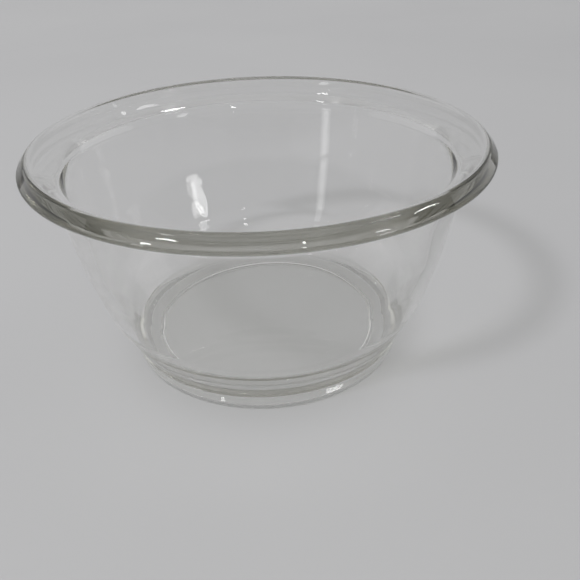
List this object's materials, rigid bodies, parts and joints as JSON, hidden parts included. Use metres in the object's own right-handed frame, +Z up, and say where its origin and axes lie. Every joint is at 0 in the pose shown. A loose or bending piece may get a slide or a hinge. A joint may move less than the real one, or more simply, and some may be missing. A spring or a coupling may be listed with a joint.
{
  "type": "prep bowl",
  "caption": "Clear pressed-glass prep bowl, round and open, with a flared lip that has a thick rounded edge, a wall that draws in, and a stepped foot.",
  "frame": {"origin": "centre of the circle that the foot stands on, at the level of the surface under it", "axes": "+Z up along the axis of the bowl; the bowl is round, so +X and +Y are any two level directions"},
  "size_m": [0.1054, 0.1054, 0.0534],
  "materials": {
    "clear_glass": "clear pressed glass, fire polished, faintly olive grey where it is thick"
  },
  "bodies": {
    "root": {"lip": "clear_glass", "side_wall": "clear_glass", "foot": "clear_glass", "base_floor": "clear_glass"}
  },
  "joints": []
}
